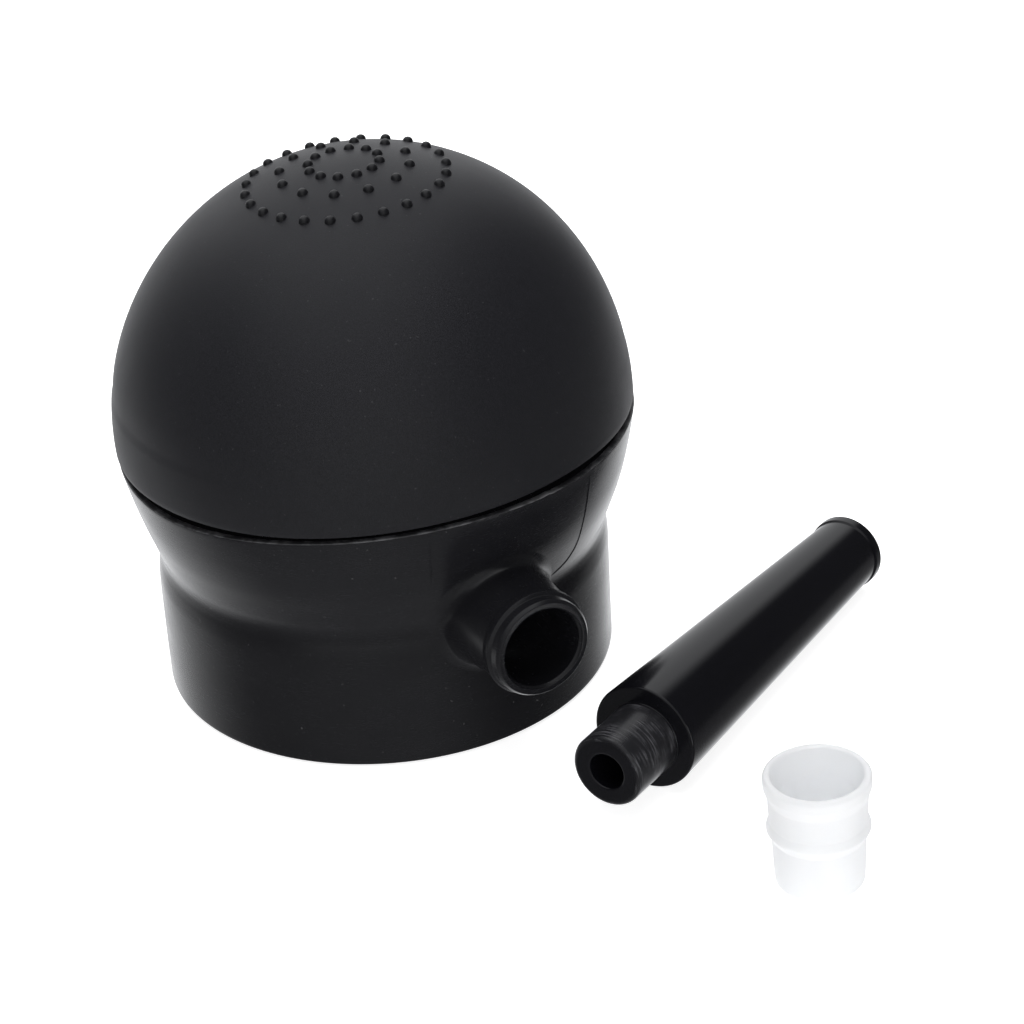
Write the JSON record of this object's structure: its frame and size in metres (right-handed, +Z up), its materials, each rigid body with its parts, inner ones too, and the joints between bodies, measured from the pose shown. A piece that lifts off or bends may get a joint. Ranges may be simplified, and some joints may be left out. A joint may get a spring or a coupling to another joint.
{
  "type": "dust blower bulb",
  "caption": "Squeeze-dome hand blower: matt silicone dome with grip nubs on a flared base with a side spout, plus a loose tapered nozzle and a soft sleeve.",
  "frame": {"origin": "on the base's axis, in the plane that the feet stand on", "axes": "+Z up along the axis of the base and the dome; the spout points 62.4 degrees from +X towards -Y; the nozzle and its sleeve lie on the same plane on the +X side"},
  "size_m": [0.0961, 0.0974, 0.0682],
  "materials": {
    "silicone_black": "matt soft-touch moulded silicone with a fine grain",
    "shell_plastic": "satin gloss injection moulded plastic",
    "nozzle_plastic": "gloss injection moulded plastic with a scuffed stem",
    "sleeve_silicone": "milky translucent silicone",
    "inner_plastic": "plain moulded plastic, matt",
    "valve_silicone": "soft red silicone",
    "seal_rubber": "black nitrile rubber",
    "screw_steel": "zinc plated steel",
    "filter_foam": "open cell foam",
    "foot_rubber": "soft black rubber"
  },
  "bodies": {
    "base": {"base_shell": "shell_plastic", "bulb_wall": "silicone_black", "bulb_clamp_ring": "inner_plastic", "clamp_screws": "screw_steel", "air_deck": "inner_plastic", "deck_gasket": "seal_rubber", "inlet_valve_stud": "inner_plastic", "outlet_valve_stud": "inner_plastic", "outlet_duct": "inner_plastic", "duct_seal": "seal_rubber", "bottom_cover": "shell_plastic", "cover_screws": "screw_steel", "intake_filter": "filter_foam", "filter_retainer": "inner_plastic", "foot_pads": "foot_rubber"},
    "crown": {"bulb_crown": "silicone_black"},
    "inlet_disc": {"inlet_valve_disc": "valve_silicone"},
    "outlet_disc": {"outlet_valve_disc": "valve_silicone"},
    "loose_nozzle": {"nozzle": "nozzle_plastic"},
    "loose_sleeve": {"nozzle_sleeve": "sleeve_silicone"}
  },
  "joints": [
    {"name": "bulb_squeeze", "type": "slide", "parent": "base", "child": "crown", "axis": [0, 0, -1], "range_m": [0, 0.018], "stiffness_N_per_m": 350, "springref_m": -0.002, "deforming": ["bulb_wall"]},
    {"name": "inlet_valve_lift", "type": "slide", "parent": "base", "child": "inlet_disc", "axis": [0, 0, 1], "range_m": [0, 0.00115], "stiffness_N_per_m": 5, "springref_m": -0.0005},
    {"name": "outlet_valve_lift", "type": "slide", "parent": "base", "child": "outlet_disc", "axis": [0, 0, -1], "range_m": [0, 0.00115], "stiffness_N_per_m": 5, "springref_m": -0.0005},
    {"name": "nozzle_lift", "type": "slide", "parent": "base", "child": "loose_nozzle", "axis": [0.64, 0, 0.7684], "range_m": [0, 0.05]},
    {"name": "sleeve_lift", "type": "slide", "parent": "base", "child": "loose_sleeve", "axis": [0, 0, 1], "range_m": [0, 0.05]}
  ]
}
